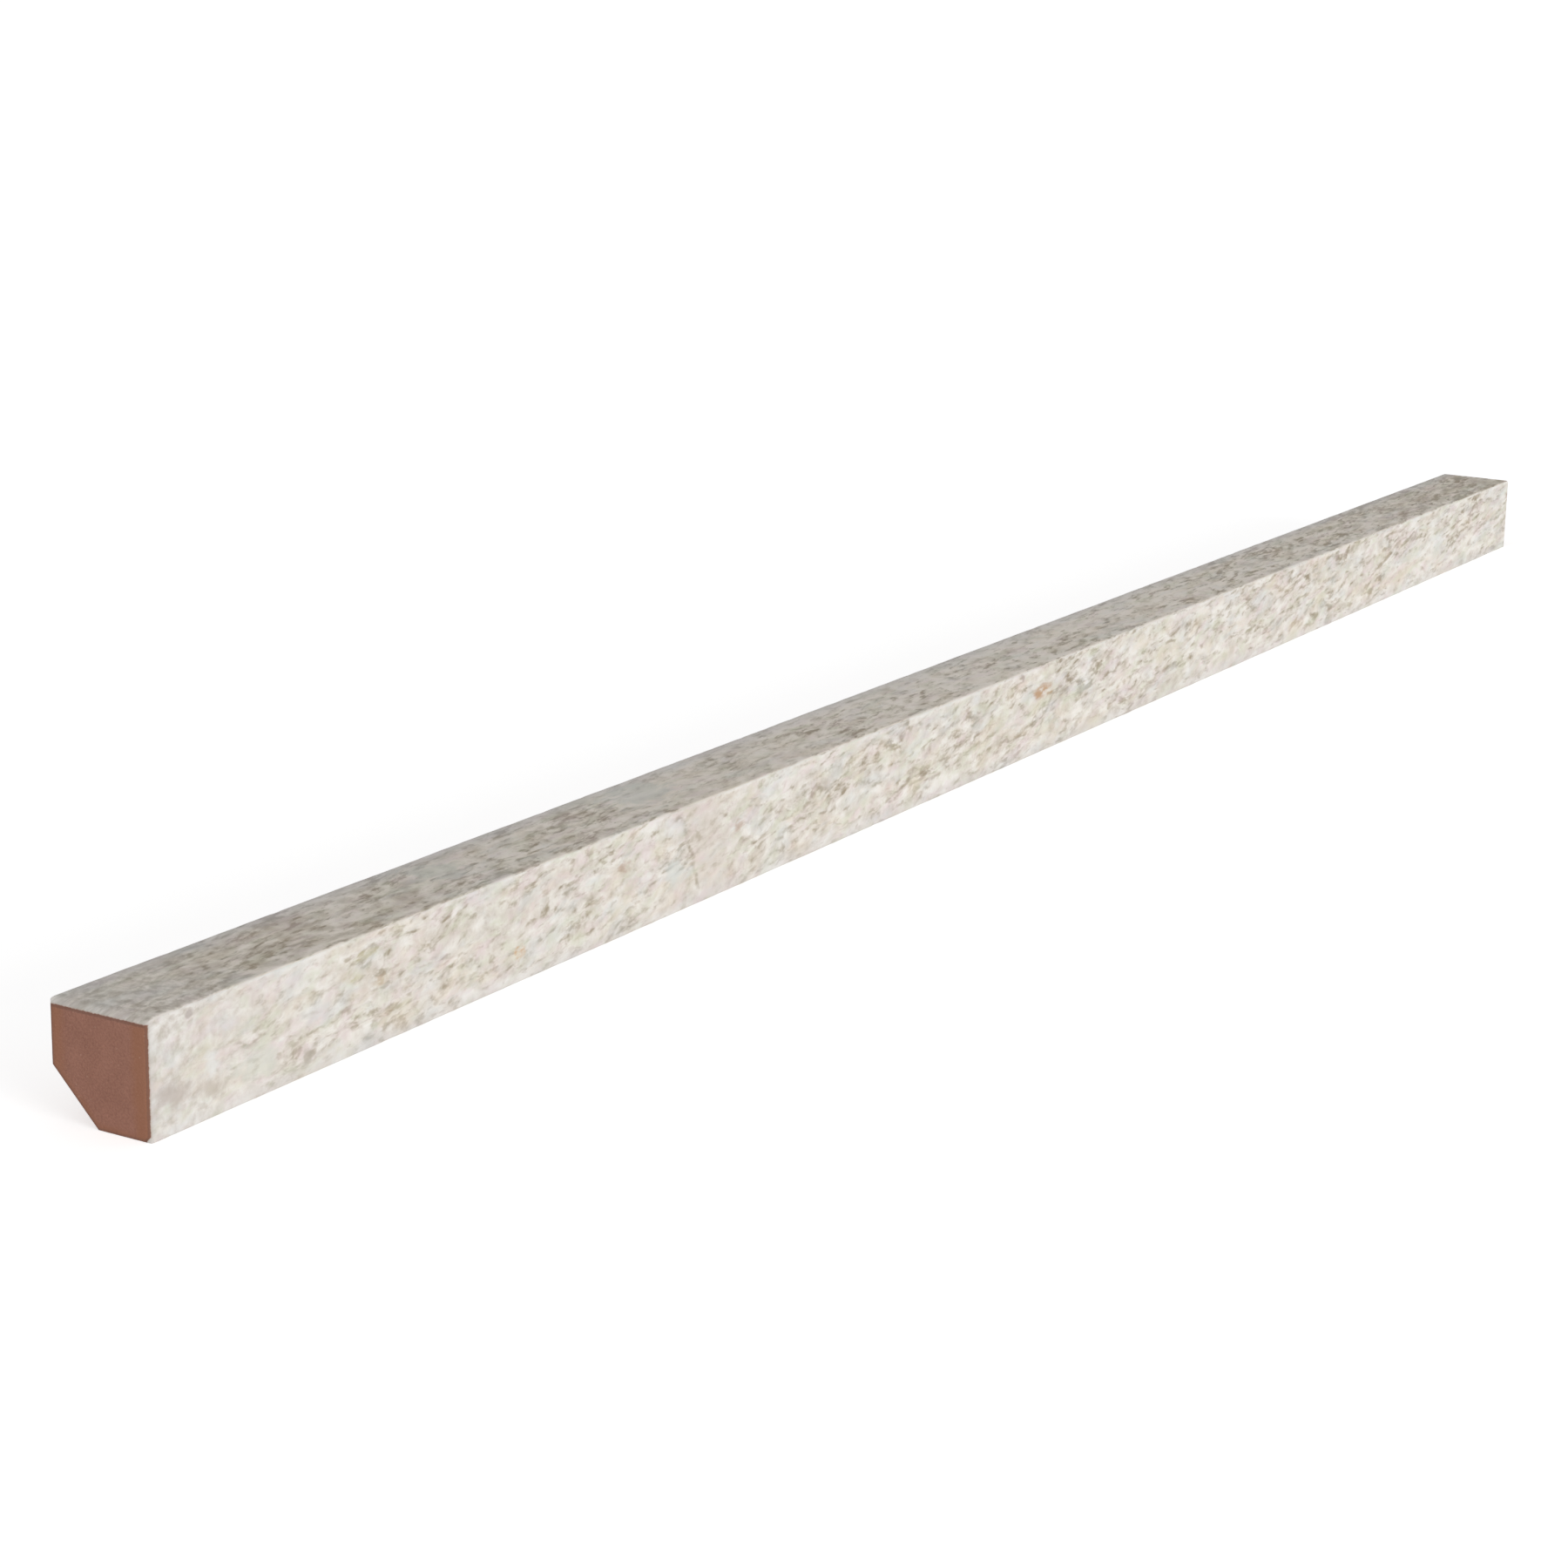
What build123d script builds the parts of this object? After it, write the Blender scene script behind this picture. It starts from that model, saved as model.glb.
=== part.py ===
"""Edge bar of a pool coping: one long, square bar of fired clay, glazed on its top and front.

The bar is pressed and fired as one piece. Its section is a square without its lower back
corner, which is cut off at 45 degrees so that the bar clears the mortar behind the pool's rim.
The glaze covers the top and the front, and rolls over a rounded edge to each end. The back,
the slanted cut, the underside and the ends are bare clay with nearly sharp edges.

Millimetres. +X runs along the bar, the glazed front faces -Y and the glazed top faces +Z.
The origin is the middle of the bar's outline, on the surface that the bar stands on.
"""

import os

from build123d import *

# Size of the bar
bar_length = 1200.0
bar_width = 40.0  # from the glazed front to the bare back
bar_height = 40.0  # from the underside to the glazed top

# Flats that the slanted cut leaves of the lower back corner
back_height = 22.0
underside_width = 22.0

# Rounded edges round the glazed faces
nose_radius = 1.2  # along the bar, where the top meets the front
back_edge_radius = 0.8  # along the bar, where the top meets the back
drip_edge_radius = 0.8  # along the bar, where the front meets the underside
end_radius = 2.5  # across the bar, where the top and the front meet the ends

# Bare clay edges along the slanted cut, which are only rubbed clean before firing
clay_edge_radius = 0.4

NODE = "coping_bar"


def long_section():
    """The section, seen along the bar: a square without its lower back corner."""
    front, back = -bar_width / 2, bar_width / 2
    corners = {
        (front, 0): drip_edge_radius,
        (front + underside_width, 0): clay_edge_radius,
        (back, bar_height - back_height): clay_edge_radius,
        (back, bar_height): back_edge_radius,
        (front, bar_height): nose_radius,
    }
    with BuildSketch(Plane.YZ) as section:
        with BuildLine():
            FilletPolyline(*corners, radius=corners.values(), close=True)
        make_face()
    return section.sketch


def rolled_outline(plane, bare_side, glazed_side):
    """A view across the bar: a long rectangle whose glazed side rolls over to both ends."""
    end = bar_length / 2
    corners = {
        (-end, bare_side): 0,
        (end, bare_side): 0,
        (end, glazed_side): end_radius,
        (-end, glazed_side): end_radius,
    }
    with BuildSketch(plane) as outline:
        with BuildLine():
            FilletPolyline(*corners, radius=corners.values(), close=True)
        make_face()
    return outline.sketch


def coping_bar():
    """What the long section, the side view and the view from above have in common."""
    side_view = rolled_outline(Plane.XZ, 0, bar_height)
    top_view = rolled_outline(Plane.XY, bar_width / 2, -bar_width / 2)
    with BuildPart() as bar:
        extrude(long_section(), amount=bar_length / 2, both=True)
        extrude(side_view, amount=bar_width / 2, both=True, mode=Mode.INTERSECT)
        extrude(top_view, amount=bar_height, mode=Mode.INTERSECT)
    return bar.part


os.makedirs("parts", exist_ok=True)
bar = coping_bar()
export_step(bar, f"parts/{NODE}.step")
print(f"{NODE}: {bar.volume / 1000:.0f} cm3, {len(bar.faces())} faces, {bar.bounding_box().size}")
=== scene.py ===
# %% [markdown]
# # A glazed edge bar for a pool coping
# The object is one long, square bar of fired red clay. Its top and its front carry a pale glaze
# that is printed like quartzite, and its other sides are bare clay. The solid that is loaded
# here has the bar's exact size. This lesson gives it the look of the real one: a skin with real
# relief, and a material that is computed from the place of each point on the bar.

# %% Load the frame that everything has to fit
import math

import bmesh
import bpy
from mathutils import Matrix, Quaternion, Vector, noise


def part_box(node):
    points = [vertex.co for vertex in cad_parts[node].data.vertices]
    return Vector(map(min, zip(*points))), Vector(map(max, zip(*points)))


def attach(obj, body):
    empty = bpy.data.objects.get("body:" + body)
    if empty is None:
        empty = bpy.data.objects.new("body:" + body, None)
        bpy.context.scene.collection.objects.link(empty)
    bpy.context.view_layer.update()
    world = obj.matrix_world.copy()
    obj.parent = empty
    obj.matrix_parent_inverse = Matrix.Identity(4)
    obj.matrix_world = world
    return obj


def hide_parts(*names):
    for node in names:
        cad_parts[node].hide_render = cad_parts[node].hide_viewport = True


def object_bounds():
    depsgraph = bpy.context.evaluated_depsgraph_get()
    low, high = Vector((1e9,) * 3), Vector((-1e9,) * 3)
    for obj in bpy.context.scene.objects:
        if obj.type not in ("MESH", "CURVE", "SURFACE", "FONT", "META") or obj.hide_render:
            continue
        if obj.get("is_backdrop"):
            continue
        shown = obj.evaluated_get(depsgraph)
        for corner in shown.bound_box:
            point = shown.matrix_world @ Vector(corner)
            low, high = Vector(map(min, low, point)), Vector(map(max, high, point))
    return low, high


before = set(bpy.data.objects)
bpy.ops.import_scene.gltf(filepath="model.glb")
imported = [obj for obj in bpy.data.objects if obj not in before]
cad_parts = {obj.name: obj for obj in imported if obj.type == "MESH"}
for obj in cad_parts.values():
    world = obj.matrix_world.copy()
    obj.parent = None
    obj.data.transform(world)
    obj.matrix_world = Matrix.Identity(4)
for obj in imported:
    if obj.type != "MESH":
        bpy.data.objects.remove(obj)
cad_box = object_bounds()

mm = 0.001
low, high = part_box("coping_bar")
bar_length, bar_width, bar_height = high - low
print("the bar measures", [round(side / mm, 1) for side in high - low], "mm")

# %% [markdown]
# ## Camera
# The bar is photographed from its left front, a little from above, with a long lens, so that
# its near end stands large on the left and the rest runs away to the right. A camera could be
# pushed about by hand until the picture fits. Here its place, its direction and its lens are
# named values, so that one line changes one of them. Azimuth 0 looks along +Y, and the
# elevation is the height above the horizon.

# %% Camera
camera_place = Vector((-1.3436, -0.6860, 0.3756))
camera_azimuth = -59.12
camera_elevation = 14.77
camera_roll = 1.08
lens_mm = 78.7
view_reach = 200.0


def direction_to(azimuth, elevation):
    """The direction in which a camera or a lamp stands, from two angles in degrees."""
    turn = math.radians(azimuth)
    rise = math.radians(elevation)
    level = math.cos(rise)
    return Vector((math.sin(turn) * level, -math.cos(turn) * level, math.sin(rise)))


looking = (-direction_to(camera_azimuth, camera_elevation)).to_track_quat("-Z", "Y")
roll = Quaternion((0, 0, 1), math.radians(camera_roll))
camera = bpy.data.objects.new("camera", bpy.data.cameras.new("camera"))
bpy.context.collection.objects.link(camera)
camera.data.lens = lens_mm
camera.data.clip_end = view_reach
camera.location = camera_place
camera.rotation_mode = "QUATERNION"
camera.rotation_quaternion = looking @ roll
bpy.context.scene.camera = camera
bpy.context.scene.view_settings.view_transform = "Standard"
print("the camera stands", round((camera_place - (low + high) / 2).length, 2), "m from the bar")

# %% [markdown]
# ## Sums with shader sockets
# A procedural material is a long sum over noises and distances. It could be wired by hand, but
# hundreds of nodes in a row can't be read. So two small classes do the wiring. A `Value` wraps a
# socket, and an ordinary + or * on it adds a Math node. A `Shader` adds any other node from its
# type, its settings and the values of its sockets.

# %% Two classes that wire nodes
class Value:
    """A shader socket that can be used in sums like a number."""

    def __init__(self, shader, socket):
        self.shader = shader
        self.socket = socket

    def math(self, operation, *values):
        return self.shader.node("ShaderNodeMath", {"operation": operation}, dict(enumerate(values)))

    def __add__(self, other):
        return self.math("ADD", self, other)

    def __radd__(self, other):
        return self.math("ADD", other, self)

    def __sub__(self, other):
        return self.math("SUBTRACT", self, other)

    def __rsub__(self, other):
        return self.math("SUBTRACT", other, self)

    def __mul__(self, other):
        return self.math("MULTIPLY", self, other)

    def __rmul__(self, other):
        return self.math("MULTIPLY", other, self)

    def __truediv__(self, other):
        return self.math("DIVIDE", self, other)

    def __rtruediv__(self, other):
        return self.math("DIVIDE", other, self)

    def __abs__(self):
        return self.math("ABSOLUTE", self)

    def largest(self, other):
        return self.math("MAXIMUM", self, other)

    def smallest(self, other):
        return self.math("MINIMUM", self, other)

    def above(self, other):
        """1 where this value is more than the other, and 0 elsewhere."""
        return self.math("GREATER_THAN", self, other)


class Shader:
    """The node tree of a material or of the world."""

    def __init__(self, tree):
        tree.nodes.clear()
        self.tree = tree

    def node(self, kind, settings=None, sockets=None, output=0):
        """Add a node and return one of its outputs. Its settings come before its sockets."""
        made = self.tree.nodes.new(kind)
        for name, setting in (settings or {}).items():
            if name == "stops":
                self.set_stops(made.color_ramp.elements, setting)
            else:
                setattr(made, name, setting)
        for name, value in (sockets or {}).items():
            if isinstance(value, Value):
                self.tree.links.new(value.socket, made.inputs[name])
            else:
                made.inputs[name].default_value = value
        return Value(self, made.outputs[output]) if made.outputs else None

    def set_stops(self, elements, stops):
        """Fill a colour ramp, which has two stops from the start."""
        for number, (position, color) in enumerate(stops.items()):
            stop = elements[number] if number < 2 else elements.new(position)
            stop.position = position
            stop.color = color

    def step(self, value, start, end):
        """0 before start and 1 after end, with a soft ramp between them."""
        sockets = {"Value": value, "From Min": start, "From Max": end}
        return self.node("ShaderNodeMapRange", {"interpolation_type": "SMOOTHSTEP"}, sockets)

    def fade(self, value, start, end):
        """1 before start and 0 after end, with a soft ramp between them."""
        return 1 - self.step(value, start, end)

    def mix(self, amount, first, second):
        """The first colour where the amount is 0, and the second where it is 1."""
        # The node has such sockets for every kind of data. Those for colours are 6, 7 and output 2.
        settings = {"data_type": "RGBA", "clamp_factor": True}
        return self.node("ShaderNodeMix", settings, {0: amount, 6: first, 7: second}, output=2)

    def vector(self, x, y, z):
        return self.node("ShaderNodeCombineXYZ", {}, {"X": x, "Y": y, "Z": z})

    def scale(self, vector, factor):
        """A place times a factor. Noise on it gets that many clouds to a unit."""
        return self.node("ShaderNodeVectorMath", {"operation": "SCALE"}, {0: vector, "Scale": factor})

    def noise(self, place, detail=2.0, roughness=0.5):
        """A cloudy pattern from 0 to 1, about one unit of the place to a cloud."""
        sockets = {"Vector": place, "Scale": 1.0, "Detail": detail, "Roughness": roughness}
        return self.node("ShaderNodeTexNoise", {}, sockets)

    def patches(self, along, across, layer, detail=2.0, roughness=0.5):
        """The same pattern on two coordinates. Each layer number gives other patches."""
        return self.noise(self.vector(along, across, layer), detail, roughness)


def new_shader(name):
    material = bpy.data.materials.new(name)
    material.use_nodes = True
    return material, Shader(material.node_tree)


def paint(red, green, blue):
    """A colour as it is read on a screen, from 0 to 255, in the linear form of a shader."""
    def linear(value):
        value /= 255
        return value / 12.92 if value <= 0.04045 else ((value + 0.055) / 1.055) ** 2.4
    return (linear(red), linear(green), linear(blue), 1.0)


print("a screen's grey of 128 is", round(paint(128, 128, 128)[0], 3), "in a shader")

# %% [markdown]
# ## World
# A studio shot of building material has plain soft light and a white ground. The world fills in
# from all sides. It could simply be white at full strength, but then it would wash out the
# difference between the sides. So it lights the bar with less than half of white, and only the
# camera and the reflections in the glaze see it as plain white.

# %% World
world_light = 0.42
world = bpy.data.worlds.new("studio")
world.use_nodes = True
bpy.context.scene.world = world
sky = Shader(world.node_tree)


def seen_directly(shader):
    """1 for rays from the camera and for reflections, 0 for the rays that light the bar."""
    camera_ray = shader.node("ShaderNodeLightPath", output="Is Camera Ray")
    glossy_ray = shader.node("ShaderNodeLightPath", output="Is Glossy Ray")
    transmission_ray = shader.node("ShaderNodeLightPath", output="Is Transmission Ray")
    return camera_ray.largest(glossy_ray).largest(transmission_ray)


sky_strength = world_light + (1 - world_light) * seen_directly(sky)
background = sky.node("ShaderNodeBackground", {}, {"Color": (1, 1, 1, 1), "Strength": sky_strength})
sky.node("ShaderNodeOutputWorld", {}, {"Surface": background})
print("the world lights the bar with", world_light, "of white")

# %% [markdown]
# ## Lamps
# The front of the bar is lit from a low softbox, so it reads as bright as its print, and the top
# is clearly darker. A weak softbox lights the near end. They could be area lamps close by, but
# the bar is long, and a lamp close by would light one end more than the other. A sun lamp lights
# the whole length alike, and a wide angle makes its shadows soft.

# %% Lamps
def softbox(name, azimuth, elevation, strength, softness):
    """A distant soft lamp. The strength is the light that it gives a white face turned to it."""
    lamp = bpy.data.objects.new(name, bpy.data.lights.new(name, "SUN"))
    lamp.data.energy = strength * math.pi
    lamp.data.angle = math.radians(softness)
    lamp.rotation_mode = "QUATERNION"
    lamp.rotation_quaternion = direction_to(azimuth, elevation).to_track_quat("Z", "Y")
    bpy.context.collection.objects.link(lamp)
    print("the", name, "gives", strength, "of white to a face turned to it")


softbox("front softbox", azimuth=-12, elevation=7, strength=0.66, softness=30)
softbox("back softbox", azimuth=-115, elevation=6, strength=0.14, softness=60)

# %% [markdown]
# ## Floor
# The bar lies on white paper, which takes its shadow. A plain square would do for one picture.
# This paper glows a little where the camera or a reflection sees it, so that it ends as bright
# as the background with no more light on the bar. It has a hole where the bar stands, just
# smaller than the flat of the underside, and it is clear from below, so that the bar can be seen
# from there too.

# %% Floor
floor_size = 60.0
floor_drop = 0.02 * mm
floor_paper = 0.9
floor_glow = 0.58

# The slanted cut takes this much off the underside, and as much off the back
cut_leg = 18 * mm
hole_from_end = 1.0 * mm
hole_from_front = 0.9 * mm
hole_from_cut = 0.5 * mm

hole_front = low.y + hole_from_front
hole_back = high.y - cut_leg - hole_from_cut
hole_middle = (hole_front + hole_back) / 2
hole_size = Vector((bar_length - 2 * hole_from_end, hole_back - hole_front, 1))


def only(kind, parts):
    """The vertices, edges or faces among the parts that an operator returns."""
    return [part for part in parts if isinstance(part, kind)]


def new_object(name, bm):
    """An object in the scene, with the finished bmesh as its mesh."""
    made = bpy.data.objects.new(name, bpy.data.meshes.new(name))
    bm.to_mesh(made.data)
    bm.free()
    bpy.context.collection.objects.link(made)
    return made


bm = bmesh.new()
bmesh.ops.create_grid(bm, x_segments=1, y_segments=1, size=0.5)
bmesh.ops.scale(bm, vec=hole_size, verts=bm.verts)
bmesh.ops.translate(bm, vec=(0, hole_middle, -floor_drop), verts=bm.verts)
hole = bm.faces[:]
outline = bmesh.ops.extrude_edge_only(bm, edges=bm.edges[:])["geom"]
for corner in only(bmesh.types.BMVert, outline):
    corner.co.x = math.copysign(floor_size / 2, corner.co.x)
    corner.co.y = math.copysign(floor_size / 2, corner.co.y - hole_middle)
bmesh.ops.delete(bm, geom=hole, context="FACES_ONLY")
bmesh.ops.recalc_face_normals(bm, faces=bm.faces)
if sum(face.normal.z for face in bm.faces) < 0:
    bmesh.ops.reverse_faces(bm, faces=bm.faces)
floor = new_object("floor", bm)
floor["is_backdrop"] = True

paper_material, paper = new_shader("white paper")
paper_color = (floor_paper, floor_paper, floor_paper, 1)
matt = paper.node("ShaderNodeBsdfDiffuse", {}, {"Color": paper_color})
glow = paper.node("ShaderNodeEmission", {}, {"Strength": floor_glow * seen_directly(paper)})
lit = paper.node("ShaderNodeAddShader", {}, {0: matt, 1: glow})
clear = paper.node("ShaderNodeBsdfTransparent")
from_below = paper.node("ShaderNodeNewGeometry", output="Backfacing")
surface = paper.node("ShaderNodeMixShader", {}, {0: from_below, 1: lit, 2: clear})
paper.node("ShaderNodeOutputMaterial", {}, {"Surface": surface})
floor.data.materials.append(paper_material)
print("the floor has", len(floor.data.polygons), "faces round the place of the bar")

# %% [markdown]
# ## The blank
# The real bar is pressed through a die as a long prism. Its section could be drawn and extruded
# here too, but a block and one slanted slice, which takes the lower back corner off, need fewer
# numbers. The edges have different radii, so each edge is given a weight, and one bevel follows
# the weights. That way the radii also meet cleanly at the corners.

# %% Cut the blank and round its edges
nose_radius = 1.2 * mm
long_edge_radius = 0.8 * mm
end_radius = 2.5 * mm
clay_edge_radius = 0.25 * mm
touching = 0.01 * mm


def everything(bm):
    return [*bm.verts, *bm.edges, *bm.faces]


def edge_radius(edge):
    """How far an edge of the blank is rounded, read from the sides that meet in it."""
    middle = (edge.verts[0].co + edge.verts[1].co) / 2
    top = middle.z > high.z - touching
    front = middle.y < low.y + touching
    back = middle.y > high.y - touching
    base = middle.z < low.z + touching
    end = abs(middle.x) > bar_length / 2 - touching
    if end:
        return end_radius if top or front else clay_edge_radius
    if top and front:
        return nose_radius
    return long_edge_radius if (top and back) or (front and base) else clay_edge_radius


bm = bmesh.new()
bmesh.ops.create_cube(bm, size=1.0)
bmesh.ops.scale(bm, vec=high - low, verts=bm.verts)
bmesh.ops.translate(bm, vec=(low + high) / 2, verts=bm.verts)
sliced = bmesh.ops.bisect_plane(
    bm,
    geom=everything(bm),
    plane_co=(0, high.y, low.z + cut_leg),
    plane_no=(0, 1, -1),
    clear_outer=True,
)
bmesh.ops.edgeloop_fill(bm, edges=only(bmesh.types.BMEdge, sliced["geom_cut"]))
weights = bm.edges.layers.float.new("bevel_weight_edge")
for edge in bm.edges:
    edge[weights] = edge_radius(edge) / end_radius

blank = new_object("blank", bm)
rounding = blank.modifiers.new("rounding", "BEVEL")
rounding.limit_method = "WEIGHT"
rounding.offset_type = "OFFSET"
rounding.width = end_radius
rounding.segments = 4
rounding.profile = 0.5
depsgraph = bpy.context.evaluated_depsgraph_get()
rounded = bpy.data.meshes.new_from_object(blank.evaluated_get(depsgraph))
bpy.data.objects.remove(blank)
print("the rounded blank has", len(rounded.polygons), "faces")

# %% [markdown]
# ## A fine grid for the relief
# Relief needs vertices to move. A subdivision surface could make them, but it would also soften
# the edges. So planes slice the blank across its width and its height, while it has few faces
# and slicing is quick. A few slices near each end take the rounded corners out of the long
# faces, which are plain four-sided strips from there on. One subdivision of the long edges then
# turns the strips into rows. Streaks in the stone run along the bar, so the rows can be twice as
# far apart as the columns.

# %% Slice the blank into columns and rows
column = 1.0 * mm
corner_columns = 2
end_slices = 4
rows = 580

bm = bmesh.new()
bm.from_mesh(rounded)
bpy.data.meshes.remove(rounded)


def slice_at(point, normal):
    bmesh.ops.bisect_plane(bm, geom=everything(bm), dist=touching, plane_co=point, plane_no=normal)


for number in range(1, end_slices + 1):
    slice_at((bar_length / 2 - number * column, 0, 0), (1, 0, 0))
    slice_at((number * column - bar_length / 2, 0, 0), (1, 0, 0))
columns = round(bar_width / column)
for number in range(corner_columns, columns - corner_columns + 1):
    slice_at((0, low.y + number * column, 0), (0, 1, 0))
    slice_at((0, 0, low.z + number * column), (0, 0, 1))
long_edges = [edge for edge in bm.edges if edge.calc_length() > bar_length / 2]
bmesh.ops.subdivide_edges(bm, edges=long_edges, cuts=rows - 1, use_grid_fill=True)
bmesh.ops.recalc_face_normals(bm, faces=bm.faces)
print("the grid has", len(long_edges), "columns,", rows, "rows and", len(bm.faces), "faces")

# %% [markdown]
# ## Relief
# The real surface copies split quartzite: it swells gently, small flakes stand a little proud,
# and the nose between the top and the front is not a ruled line but dips here and there where a
# flake has come off. The clay sides are smoother, with shallow drag lines that run along the bar.
# A Displace modifier could do this too, but the dips have places of their own, so each vertex is
# moved along its normal in code, by a height that is computed from smooth noise. The noise is a
# fixed function of the place, so every run gives the same bar.

# %% Move the skin
flake_slant = math.tan(math.radians(10))
swell_height = 0.06
small_swell_share = 0.5
flake_height = 0.07
small_flake_share = 0.6
pit_depth = 0.14
pit_start = 0.42
pit_range = 0.4
drag_height = 0.03
glaze_spread = 1.5
dip_length = 2.6
dip_reach = 2.0

# Where a flake has come off the nose, in millimetres along the bar, and how deep
nose_dips = {
    196: 0.4,
    377: 0.45,
    410: 0.5,
    447: 0.4,
    505: 0.5,
    573: 1.0,
    700: 0.5,
    864: 0.5,
    1075: 0.5,
}


def lumps(along, across, length, width, layer):
    """Smooth noise about 0, in lumps of this length and width in millimetres."""
    return noise.noise(Vector((along / length, across / width, layer)))


def stone_height(along, round_nose):
    """Height of the glazed skin in millimetres, from the place along the bar and across the nose."""
    swell = lumps(along, round_nose, length=38, width=13, layer=1.5)
    swell += small_swell_share * lumps(along, round_nose, length=16, width=6, layer=2.5)
    across = round_nose - flake_slant * along
    flake = lumps(along, across, length=9, width=3.2, layer=3.5)
    flake += small_flake_share * lumps(along, across, length=4.5, width=1.9, layer=4.5)
    pit = max(0.0, lumps(along, across, length=7, width=2.8, layer=5.5) - pit_start) / pit_range
    return swell_height * swell + flake_height * flake - pit_depth * pit


def nose_dip(along, round_nose):
    """How far lost flakes lower the nose, in millimetres."""
    depth = 0.0
    for dip_at, deepest in nose_dips.items():
        gap = ((along - dip_at) / dip_length) ** 2 + (round_nose / dip_reach) ** 2
        depth += deepest * math.exp(-gap)
    return depth


def relief_at(vert):
    """How far a vertex moves along its normal, in millimetres."""
    along = (vert.co.x - low.x) / mm
    round_nose = ((vert.co.z - high.z) + (vert.co.y - low.y)) / mm
    drag = drag_height * lumps(along, (vert.co.y - vert.co.z) / mm, length=160, width=1.6, layer=6.5)
    glazed_share = min(1.0, glaze_spread * max(0.0, vert.normal.z, -vert.normal.y))
    glazed_height = stone_height(along, round_nose) - nose_dip(along, round_nose)
    return glazed_share * glazed_height + (1 - glazed_share) * drag


bm.normal_update()
heights = [relief_at(vert) for vert in bm.verts]
for vert, height in zip(bm.verts, heights):
    vert.co += vert.normal * height * mm
print("the relief runs from", round(min(heights), 2), "to", round(max(heights), 2), "mm")

# %% [markdown]
# ## A flat map of the skin
# When the bar leaves Blender, its colours are baked into a picture. Blender can unwrap a mesh by
# itself, but a long thin bar wastes most of a square picture. So the skin is laid out here: each
# side is a strip, cut into three runs that lie one above the other. The bare clay strips get a
# little less room than the glazed ones.

# %% Lay the sides out as strips
runs = 3
clay_share = 0.6
strip_gap = 1.5
side_width = {
    "top": bar_width,
    "front": bar_height,
    "cut": cut_leg * math.sqrt(2),
    "back": bar_height - cut_leg,
    "base": bar_width - cut_leg,
}


def share_of(side):
    """How much of its real size a side gets on the map."""
    return 1.0 if side in ("top", "front") else clay_share


def side_of(normal):
    """The side of the bar that a face belongs to, from the way it looks."""
    facing = {
        "top": normal.z,
        "front": -normal.y,
        "cut": (normal.y - normal.z) * math.sqrt(0.5),
        "back": normal.y,
        "base": -normal.z,
        "end": abs(normal.x),
    }
    return max(facing, key=facing.get)


def place_across(side, point):
    """How far a point lies from the edge of its own strip, in millimetres."""
    return {
        "top": point.y - low.y,
        "front": point.z - low.z,
        "cut": (point.y - low.y - (bar_width - cut_leg)) * math.sqrt(2),
        "back": point.z - low.z - cut_leg,
        "base": point.y - low.y,
    }[side] / mm


strip_start = {}
reached = strip_gap
for run in range(runs):
    for side, width in side_width.items():
        strip_start[run, side] = reached
        reached += width / mm * share_of(side) + strip_gap
ends_start = reached
map_height = ends_start + bar_height / mm + strip_gap
run_length = bar_length / mm / runs
map_width = run_length + 2 * strip_gap

flat_map = bm.loops.layers.uv.new("OFBake")
for face in bm.faces:
    side = side_of(face.normal)
    middle = (face.calc_center_median().x - low.x) / mm
    run = min(runs - 1, int(middle / run_length))
    for corner in face.loops:
        point = corner.vert.co
        if side == "end":
            start = strip_gap if middle < run_length else 2 * strip_gap + bar_width / mm
            u = start + (point.y - low.y) / mm
            v = ends_start + (point.z - low.z) / mm
        else:
            u = strip_gap + (point.x - low.x) / mm - run * run_length
            v = strip_start[run, side] + place_across(side, point) * share_of(side)
        corner[flat_map].uv = (u / map_width, v / map_height)
print("the flat map is", round(map_width), "by", round(map_height), "mm")

# %% [markdown]
# ## The bar as an object
# The loaded solid could be given the material as it is, but it has no vertices for the relief.
# So the finished mesh takes its place: it rides on the body of the part, and the solid of the
# bar is hidden. Smooth shading lets the light roll over the small radii.

# %% Hand the mesh over
for face in bm.faces:
    face.smooth = True
bar = new_object("glazed_bar", bm)
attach(bar, "root")
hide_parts("coping_bar")
bar.data.calc_loop_triangles()
print("the bar has", len(bar.data.loop_triangles), "triangles")

# %% [markdown]
# ## Where the glaze ends
# The glaze runs over the rounded ends and stops just before the flat end face, and it laps a
# little way round the long edges. Two materials on two groups of faces could show that, but the
# border would follow the mesh. So the print and the clay are one material on one skin, and the
# border between them can be ragged and much finer than the mesh. A point is glazed where it lies
# close under the plane of the top or close behind the plane of the front. All places are in
# millimetres. Across the nose, the front counts down from it and the top counts up.

# %% Places and the glaze's border
skin_material, shader = new_shader("stone print glaze on red clay")
object_place = shader.node("ShaderNodeTexCoord", output="Object")
place = shader.scale(object_place, 1 / mm)
x, y, z = (shader.node("ShaderNodeSeparateXYZ", {}, {0: place}, output=axis) for axis in "XYZ")
along = x - low.x / mm
under_top = high.z / mm - z
behind_front = y - low.y / mm
from_back = high.y / mm - y
from_end = bar_length / 2 / mm - abs(x)
round_nose = behind_front - under_top
on_top = round_nose.above(0.0)
on_front = 1 - on_top

top_reach = 2.2
front_reach = 1.15
base_reach = 2.4
raggedness = 0.6
border_softness = 0.12
ragged = shader.noise(place, detail=3.0) - 0.5
near_base = shader.fade(z, 0.3, 2.0)
behind_reach = front_reach + (base_reach - front_reach) * near_base - behind_front
inside_border = (top_reach - under_top).largest(behind_reach) + raggedness * ragged
glazed = shader.step(inside_border, -border_softness, border_softness)
print("the glaze laps", front_reach, "to", base_reach, "mm round its edges")

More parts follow.
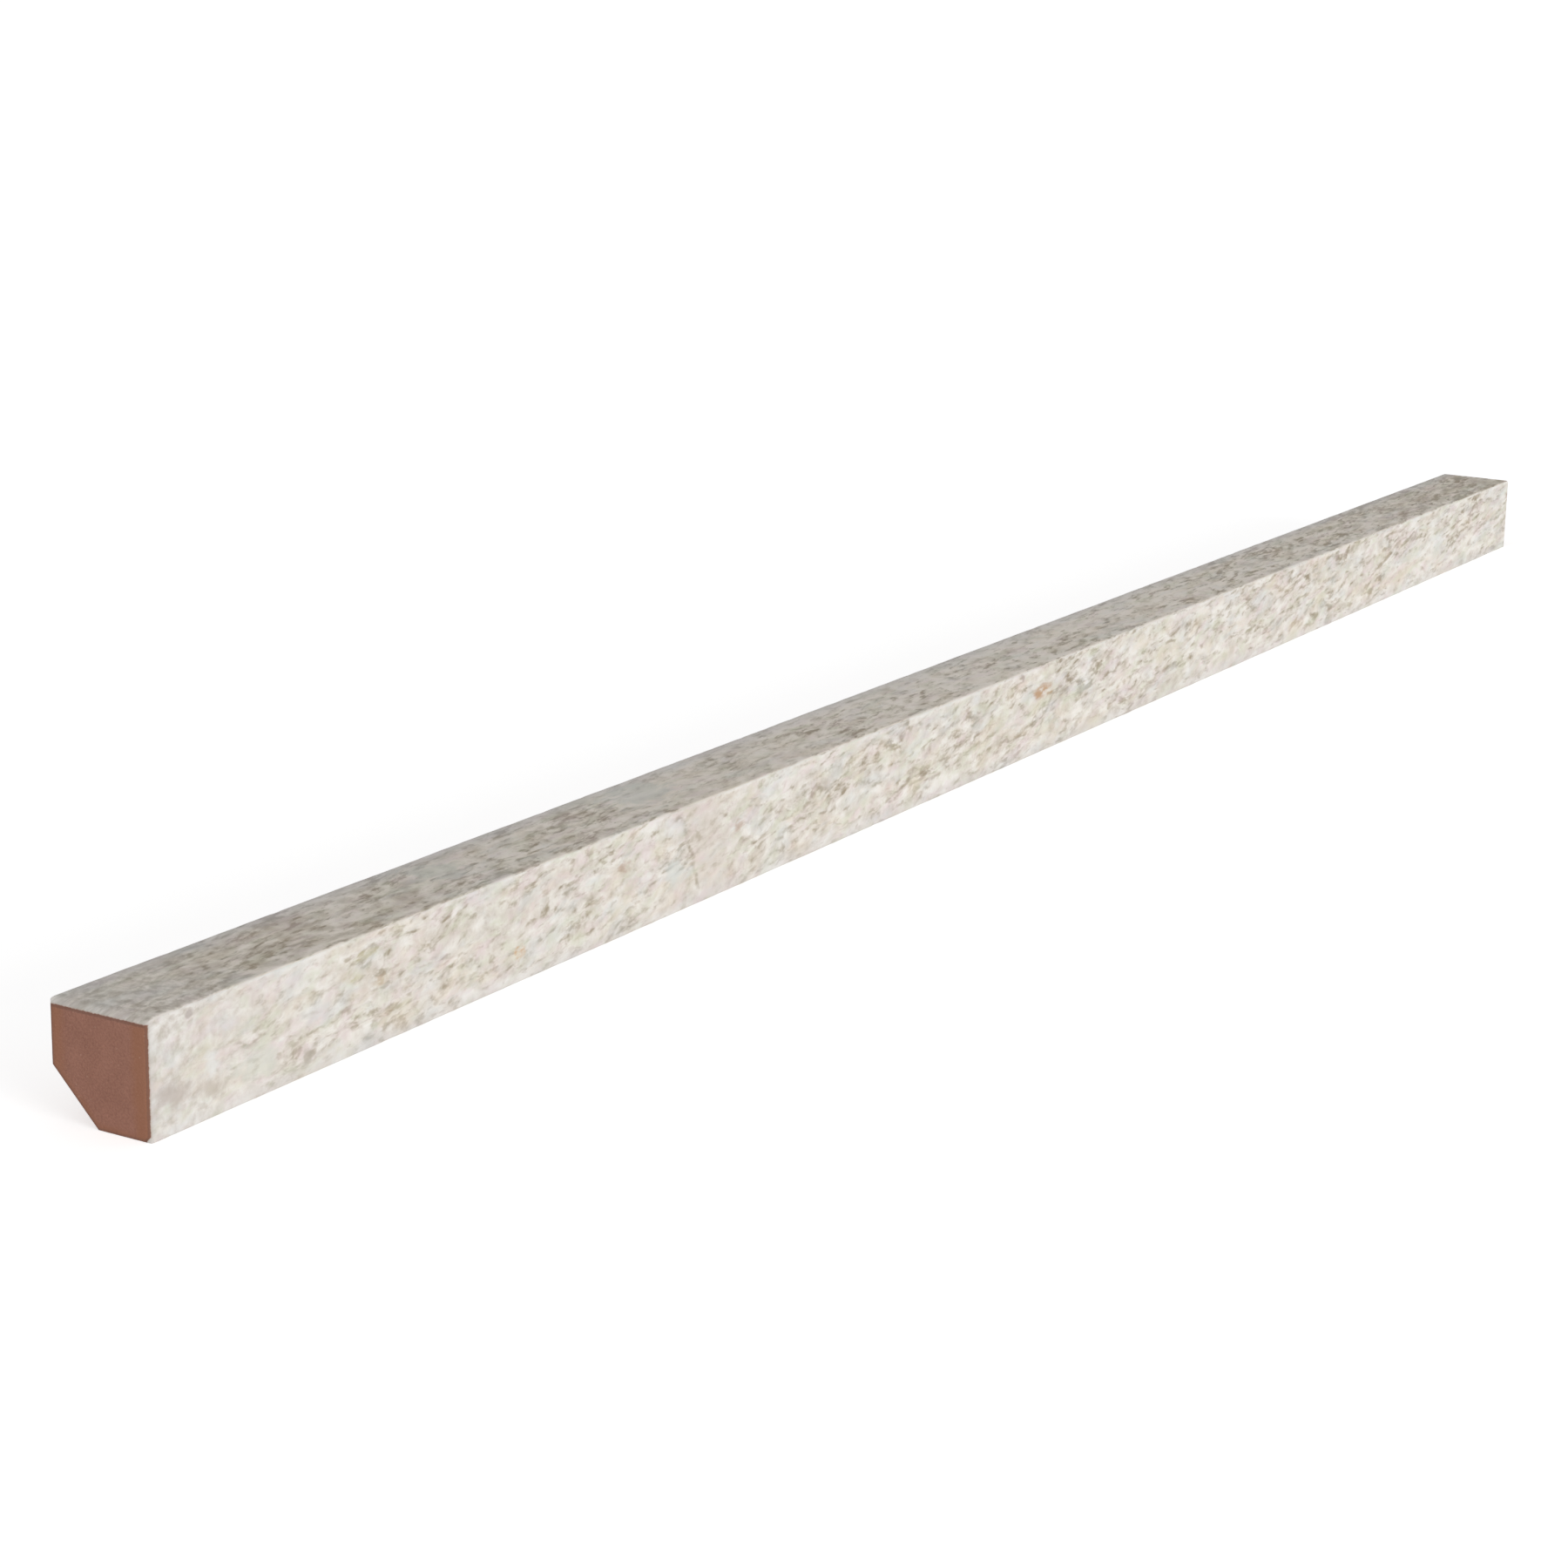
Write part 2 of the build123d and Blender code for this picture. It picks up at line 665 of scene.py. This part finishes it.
# %% [markdown]
# ## Along and across the streaks
# The print copies quartzite, whose streaks all lie in one direction, a few degrees off the bar's
# own. A picture of stone could be wrapped round the bar, but it would be soft from close by, and
# a picture would have to travel with the part. So the print is computed from noise, in
# coordinates of its own: one along the streaks and one across them, bent a little so that the
# streaks wander as in real stone. The front and the top are printed one by one: the top's print
# starts elsewhere, slants a little less and has longer marks. On both, the marks get shorter
# towards the near end.

# %% Coordinates of the print
front_slant = math.tan(math.radians(6))
top_slant = math.tan(math.radians(5.5))
top_print_start = 90.0
wander_reach = 6
ripple_reach = 1.2
near_shortening = 1.23
shortening_lost = 0.00019
top_lengthening = 0.13

slope = front_slant + (top_slant - front_slant) * on_top
wander = shader.patches(along / 30, round_nose / 12, 1.3, detail=1.0) - 0.5
ripple = shader.patches(along / 6.0, round_nose / 3.5, 1.8, detail=1.0) - 0.5
across = round_nose + top_print_start * on_top - slope * along
across = across + wander_reach * wander + ripple_reach * ripple
print_along = along * (near_shortening - shortening_lost * along) * (1 - top_lengthening * on_top)
far_shortening = near_shortening - 2 * shortening_lost * bar_length / mm
near_mark, far_mark = (round(10 / shortening, 1) for shortening in (near_shortening, far_shortening))
print("a mark of 10 mm is", near_mark, "mm long at the near end and", far_mark, "mm at the far one")

# %% [markdown]
# ## Layers of the stone
# Quartzite has thin taupe streaks that gather in swarms, whiter patches between them, a few dark
# threads and a fine sparkle of grain. One noise with much detail would look like fog. So each of
# these is a layer with clouds of its own length and width, and a soft step cuts the streaks and
# the threads out of theirs.

# %% Layers of the stone
def streaked(length, width, layer, detail, roughness=0.5):
    """Noise from 0 to 1, in clouds of this length and width, that lie along the streaks."""
    return shader.patches(print_along / length, across / width, layer, detail, roughness)


swarm_pull = 0.3
swarm = streaked(length=38, width=14, layer=2.3, detail=1.0) - 0.5
streak_field = streaked(length=7.0, width=2.4, layer=3.3, detail=3.0, roughness=0.55)
streaks = shader.step(streak_field + swarm_pull * swarm, 0.47, 0.80)
mottle = streaked(length=7.8, width=4.0, layer=4.3, detail=3.0, roughness=0.55) - 0.5
cloud = streaked(length=26, width=10, layer=5.3, detail=2.0) - 0.5
grain = streaked(length=1.5, width=1.1, layer=6.3, detail=2.0, roughness=0.6) - 0.5
thread_field = streaked(length=12, width=3.6, layer=6.8, detail=3.0) - 0.5
threads = shader.fade(abs(thread_field), 0.0, 0.045) * shader.step(swarm, -0.05, 0.15)
blotches = shader.patches(along / 3.6, across / 3.0, 9.8, detail=3.0, roughness=0.6) - 0.5
print("with its layers the material has", len(shader.tree.nodes), "nodes")

# %% [markdown]
# ## Tone of the stone
# The layers add up to a tone, which is a brightness from 0 to 255 as on a screen. Each layer
# swings it up and down by its own amount, and the streaks and threads only darken it. The tone
# could be the same all along, but the real print isn't. The near end is blotchy, with less
# contrast on the front. The contrast grows towards the far end, and is larger on the top.

# %% Tone of the stone
average_tone = 221
streak_lift = 4
mottle_swing = 134
cloud_swing = 56
near_grain_swing = 13
grain_swing_gained = 9
streak_depth = 80
thread_depth = 16
grain_swing = near_grain_swing + grain_swing_gained * shader.step(along, 20.0, 200.0)
texture = streak_lift + mottle_swing * mottle + cloud_swing * cloud + grain_swing * grain
texture = texture - streak_depth * streaks - thread_depth * threads

blotch_swing = 330
blotch_share = 0.65
near_end = shader.fade(along, 12.0, 60.0)
texture = texture + blotch_share * near_end * (blotch_swing * blotches - texture)

near_contrast = 0.88
contrast_gained = 0.0002
contrast_on_top = 0.3
contrast_lost_at_end = 0.2
calm_end = contrast_lost_at_end * shader.fade(along, 20.0, 150.0) * on_front
contrast = near_contrast + contrast_gained * along + contrast_on_top * on_top - calm_end
tone = average_tone + texture * contrast
print("the stone is", average_tone, "bright on average, and a streak is", streak_depth, "darker")

# %% [markdown]
# ## Paler places
# The nose is painted paler, as a painted highlight along the arris, and the upper part of the front
# is a little paler too. The top is palest at its middle and darker towards both ends. Paler paint
# could do this, but then the streaks would fade with it. So the tone itself is lifted there.

# %% Paler nose and middle
rim_lift = 4
rim_depth = 10.0
pale_rim = rim_lift * shader.fade(under_top, 0.0, rim_depth) * on_front

# Painted highlight along the nose: the tone is lifted on both sides of the arris.
nose_highlight_lift = 22
nose_raggedness = 1.5
nose_reach_on_top = 1.2
nose_reach_gained = 0.9
nose_reach = nose_reach_on_top + nose_reach_gained * on_front
painted_nose_highlight = nose_highlight_lift * shader.fade(abs(round_nose) + nose_raggedness * ripple, 0.0, nose_reach)

middle_lift = 28
palest_at = 580.0
middle_reach = 570.0
off_middle = (along - palest_at) / middle_reach
paler_middle = middle_lift * (1 - off_middle * off_middle) - middle_lift / 2
tone = tone + paler_middle * on_top + pale_rim + painted_nose_highlight
print("the nose is", nose_highlight_lift, "paler, and the middle of the top", middle_lift / 2)

# %% [markdown]
# ## A vein with calm stone beside it
# A thin dark vein crosses the front, and the stone beyond it is calm and even, on the top as
# well. Noise would make such a vein only by chance. So it is drawn as the distance from a
# slanted line, which noise bends and breaks up.

# %% The vein and the calm stone
vein_foot = 311.0
vein_head = 295.5
vein_bend = 6
vein_depth = 30
vein_way = vein_foot + (vein_head - vein_foot) * (z / (bar_height / mm))
off_vein = along - vein_way + vein_bend * (shader.patches(along / 9, z / 5, 7.3) - 0.5)
vein = shader.fade(abs(off_vein), 0.3, 2.0) * on_front
vein = vein * shader.step(z, 4.0, 8.0) * shader.fade(z, 31.0, 36.0)
vein = vein * shader.step(shader.patches(along / 4, z / 3, 7.8), 0.15, 0.45)

calm_width = 36.0
calm_tone = 214
calm_share = 0.55
calm = shader.step(off_vein, 0.0, 3.0) * shader.fade(off_vein, calm_width * 0.4, calm_width)
calm = calm * on_front
tone = tone + calm_share * calm * (calm_tone - tone) - vein_depth * vein

top_calm_middle = 350
top_calm_tone = 234
top_calm_share = 0.35
top_calm = shader.fade(abs(along - top_calm_middle), 25.0, 70.0) * on_top
tone = tone + top_calm_share * top_calm * (top_calm_tone - tone)
print("the vein leans by", vein_foot - vein_head, "mm over the height of the front")

# %% [markdown]
# ## From tone to colour
# Quartzite is taupe where it is dark and nearly white where it is pale, so a grey of each tone
# would look dead. The tone picks a paint from a ramp instead. The front and the top have a ramp
# each, because the pale stone of the top is warmer.

# %% Colour of the glaze
darkest_tone = 150
tone_range = 100
front_paints = {
    150: paint(162, 149, 130),
    181: paint(190, 180, 164),
    214: paint(221, 213.5, 204),
    232: paint(234, 229, 221),
    250: paint(243, 239.5, 233.5),
}
top_paints = {
    150: paint(163, 149, 130),
    181: paint(191, 180, 164.5),
    214: paint(221, 212.5, 199),
    232: paint(237.5, 229, 217),
    250: paint(248, 240, 230),
}


def painted_by_tone(paints):
    """A colour ramp over the tone, from paints that are keyed by the tone that they stand for."""
    stops = {(at_tone - darkest_tone) / tone_range: color for at_tone, color in paints.items()}
    return shader.node("ShaderNodeValToRGB", {"stops": stops}, {0: (tone - darkest_tone) / tone_range})


stone = shader.mix(on_top, painted_by_tone(front_paints), painted_by_tone(top_paints))
print("the stone has", len(front_paints), "paints on the front and", len(top_paints), "on the top")

# %% [markdown]
# ## Tints
# Faint patches of pink, green, blue and yellow lie over real quartzite, and the calm stone beside
# the vein is a little pink. They could be more stops of the ramp, but a tint doesn't follow the
# tone. So each is a layer of its own, with a paint that is mixed in where its noise is high. A
# row gives the paint, the layer number, the length and width of its clouds, and its strength.
# The rims at the back and the foot, and the near end, are a little cooler.

# %% Tints over the stone
tints = {
    "blush": (paint(229, 210, 212), 8.3, 15, 6, 0.50),
    "moss": (paint(214, 217, 193), 9.3, 15, 6, 0.50),
    "ice": (paint(213, 218, 219), 10.3, 22, 9, 0.38),
    "honey": (paint(226, 208, 182), 11.3, 22, 9, 0.30),
}
tint_lost_on_top = 0.35
for tint, layer, length, width, strength in tints.values():
    amount = shader.step(streaked(length, width, layer, detail=3.0, roughness=0.6), 0.46, 0.74)
    stone = shader.mix(strength * (1 - tint_lost_on_top * on_top) * amount, stone, tint)
pink_of_calm = 0.12
stone = shader.mix(pink_of_calm * calm, stone, paint(226, 210, 201))

coolness_of_back = 0.45
coolness_of_foot = 0.35
coolness_of_end = 0.15
cool_back = coolness_of_back * shader.fade(from_back, 0.0, 12.0) * on_top
cool_foot = coolness_of_foot * shader.fade(z, 0.0, 8.0) * on_front
cool_end = coolness_of_end * near_end
coolest = cool_back.largest(cool_foot).largest(cool_end)
stone = shader.mix(coolest, stone, paint(212, 211, 213))
print("the tints are", ", ".join(tints))

# %% [markdown]
# ## Rust and patches
# A few marks stand out on every stone: small spots of iron have rusted, and here and there lies
# a whiter, a bluer or a darker patch. Noise would put them anywhere, so their places are given on
# the skin rolled out flat. Each row gives a mark's place along the bar and across the nose,
# its half length and half width, its paint and its strength. The mottle of the stone frays their
# edges, and rust only covers the stone where there are streaks.

# %% Marks that stand out
# This table holds real patches of the stone and one painted shadow, in the deepest dip of the nose.
patches_and_painted_shadow = {
    "white patch": (28, -22, 4, 6, paint(236, 237, 235), 0.55),
    "pale green patch": (50, -28, 11, 7, paint(219, 222, 212), 0.5),
    "brown cloud": (9, -27, 9, 4, paint(194, 182, 173), 0.7),
    "brown cloud beside it": (27, -30, 6, 3.5, paint(198, 187, 176), 0.6),
    "dark grain": (18, -3, 2.2, 1.6, paint(178, 165, 158), 0.7),
    "dark grain below": (74, -34, 3, 3.5, paint(178, 171, 157), 0.6),
    "blue patch": (78, -19, 8, 4, paint(219, 222, 222), 0.35),
    "blue patch before the vein": (292, -24, 7, 5, paint(219, 224, 220), 0.5),
    # Painted shadow where the nose dips most deeply, not a mark in the stone.
    "shadow in the deepest dip": (574, -2, 1.6, 2.4, paint(184, 168, 160), 0.8),
    "blue end of the top": (11, 28, 14, 14, paint(213, 216, 211), 0.2),
    "first blue patch on the top": (176, 25, 16, 12, paint(219, 223, 218), 0.4),
    "second blue patch on the top": (304, 25, 22, 12, paint(219, 222, 217), 0.5),
}
rusty_flecks = {
    "olive one in the near end": (107, -7, 7, 2.2, paint(205, 197, 158), 0.45),
    "olive one beside it": (99, -13.5, 5, 2, paint(200, 196, 154), 0.45),
    "brown one below": (112, -18, 5, 2, paint(204, 180, 152), 0.55),
    "orange one low down": (192, -29, 3.5, 2.7, paint(206, 164, 116), 0.85),
    "red one above it": (258, -13, 5, 2.5, paint(192, 166, 150), 0.6),
    "red one in the calm patch": (338, -15.5, 5, 2.5, paint(192, 166, 148), 0.6),
    "large one past the middle": (594, -11.5, 10, 3.2, paint(190, 152, 114), 0.85),
    "brown one far out": (881, -30, 6, 4, paint(182, 165, 138), 0.7),
}
fray = 2.0


def spot(mark_along, mark_across, half_length, half_width):
    """1 in the middle of a mark and 0 outside it, with a frayed edge."""
    offset_along = (along - mark_along) / half_length
    offset_across = (round_nose - mark_across) / half_width
    offset = shader.vector(offset_along, offset_across, 0.0)
    distance = shader.node("ShaderNodeVectorMath", {"operation": "LENGTH"}, {0: offset}, output="Value")
    return shader.fade(distance + fray * mottle, 0.4, 1.2)


def dab(stone, marks, cover=1.0):
    """Lay each mark's paint over the stone, where the cover lets it through."""
    for *place_and_size, mark_paint, strength in marks.values():
        stone = shader.mix(strength * cover * spot(*place_and_size), stone, mark_paint)
    return stone


stone = dab(stone, patches_and_painted_shadow)
stone = dab(stone, rusty_flecks, cover=shader.step(streak_field, 0.36, 0.56))
print(len(patches_and_painted_shadow), "patches and", len(rusty_flecks), "rusty flecks are placed by hand")

# %% [markdown]
# ## The clay
# Red clay fires to a dull brown red. It is fine and even, with large soft clouds, and lines from
# the die run along the long faces. A flat colour would look like plastic, so a fine grain, the
# clouds and the lines move it between a dark and a pale clay.

# %% Colour of the clay
middle_clay = 0.5
clay_grain_swing = 1.3
clay_cloud_swing = 0.6
drag_line_swing = 0.3
clay_grain = shader.noise(shader.scale(place, 1.2), detail=2.0, roughness=0.7) - 0.5
clay_cloud = shader.noise(shader.scale(place, 0.12), detail=3.0) - 0.5
drag_line = shader.patches(along / 90, (y - z) / 0.9, 10.3, detail=2.0) - 0.5
clay_tone = middle_clay + clay_grain_swing * clay_grain + clay_cloud_swing * clay_cloud
clay_tone = clay_tone + drag_line_swing * drag_line
clay = shader.mix(clay_tone, paint(147, 102, 86), paint(187, 136, 117))
print("with the clay the material has", len(shader.tree.nodes), "nodes")

# %% [markdown]
# ## Edges of the clay
# Fired clay is a little more orange towards its edges, where the kiln's air reached it first. The
# end is darker along its bare edges, and along its foot this is painted contact shadow. There is
# a thin dark line beside the glaze, and light grains of ground brick show here and there. Such
# marks could be painted by hand. Here they come from the distance to the nearest edge, so that
# they follow the bar's shape.

# %% Edges and grains of the clay
kiln_share = 0.6
kiln_from_front = 3.0
kiln_past_level_edges = 2.5
kiln_unevenness = 5
to_cut = (z - y + (bar_width / 2 - cut_leg) / mm) * math.sqrt(0.5)
to_upright_edge = from_back.smallest(behind_front - kiln_from_front)
to_level_edge = to_cut.smallest(z).smallest(under_top) + kiln_past_level_edges
to_kiln_edge = to_upright_edge.smallest(to_level_edge).largest(from_end)
kiln_edge = shader.fade(to_kiln_edge + kiln_unevenness * clay_cloud, 2.0, 6.5)
clay = shader.mix(kiln_share * kiln_edge, clay, paint(170, 116, 86))

brick_share = 0.3
ground_brick = shader.step(shader.noise(shader.scale(place, 0.8), detail=1.0), 0.72, 0.77)
clay = shader.mix(brick_share * ground_brick, clay, paint(206, 176, 158))

# The bare edges of the end are painted darker, and along the foot this is painted contact shadow.
dark_edge_share = 0.4
to_bare_edge = from_back.smallest(to_cut).smallest(z)
dark_edges_and_foot_shadow = shader.fade(to_bare_edge.largest(from_end), 0.3, 1.3)
clay = shader.mix(dark_edge_share * dark_edges_and_foot_shadow, clay, paint(112, 90, 84))

line_share = 0.6
line_outside_border = 0.45
beside_glaze = shader.fade(abs(inside_border + line_outside_border), 0.2, 0.8)
clay = shader.mix(line_share * beside_glaze, clay, paint(126, 94, 82))
print("a dark line runs", line_outside_border, "mm outside the glaze")

# %% [markdown]
# ## Glaze and clay together
# Where the glaze rolls over to an end it is pale and even, and at its very border it is so thin
# that the clay shines through. The glaze is satin, and the bare clay is matt. Glaze and clay
# could be two shaders that are mixed, but one shader with mixed values bakes more simply. The
# finest grain is a bump, because vertices for it would be far too many.

# %% Put glaze and clay together
rolled_share_on_front = 0.35
rolled_share_lost_on_top = 0.15
rolled_share = rolled_share_on_front - rolled_share_lost_on_top * on_top
rolled_over = shader.fade(from_end + 1.5 * ragged, 0.6, 2.6)
rolled_paint = shader.mix(on_top, paint(212, 207, 202), paint(228, 222, 217))
stone = shader.mix(rolled_share * rolled_over, stone, rolled_paint)

clay_shining_through = 0.55
thin_glaze = shader.fade(inside_border, 0.05, 0.5)
stone = shader.mix(clay_shining_through * thin_glaze, stone, paint(205, 180, 165))
color = shader.mix(glazed, clay, stone)

satin = 0.72
matt_clay = 0.88
glaze_roughness = satin + 0.2 * grain - 0.06 * streaks
roughness = glaze_roughness * glazed + matt_clay * (1 - glazed)

# Heights of the bump, in millimetres
grain_bump = 0.05
streak_bump = 0.06
glaze_thickness = 0.10
clay_grain_bump = 0.10
drag_line_bump = 0.05
glaze_bump = grain_bump * grain - streak_bump * streaks + glaze_thickness
clay_bump = clay_grain_bump * clay_grain + drag_line_bump * drag_line
bump = glaze_bump * glazed + clay_bump * (1 - glazed)
normal = shader.node("ShaderNodeBump", {}, {"Strength": 1.0, "Distance": mm, "Height": bump})
skin = shader.node(
    "ShaderNodeBsdfPrincipled",
    {},
    {"Base Color": color, "Roughness": roughness, "Normal": normal, "Specular IOR Level": 0.3},
)
shader.node("ShaderNodeOutputMaterial", {}, {"Surface": skin})
bar.data.materials.append(skin_material)
print("the finished material has", len(shader.tree.nodes), "nodes")

# %% [markdown]
# ## Compare the sizes and finish
# The dressed bar must keep the size of the solid, so the difference between the two boxes is printed.

# %% Compare the sizes and finish
visual_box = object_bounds()
cad_size = cad_box[1] - cad_box[0]
visual_size = visual_box[1] - visual_box[0]
grown = [round(side / mm, 2) for side in visual_size - cad_size]
print("the dressed bar is larger than the solid by", grown, "mm")
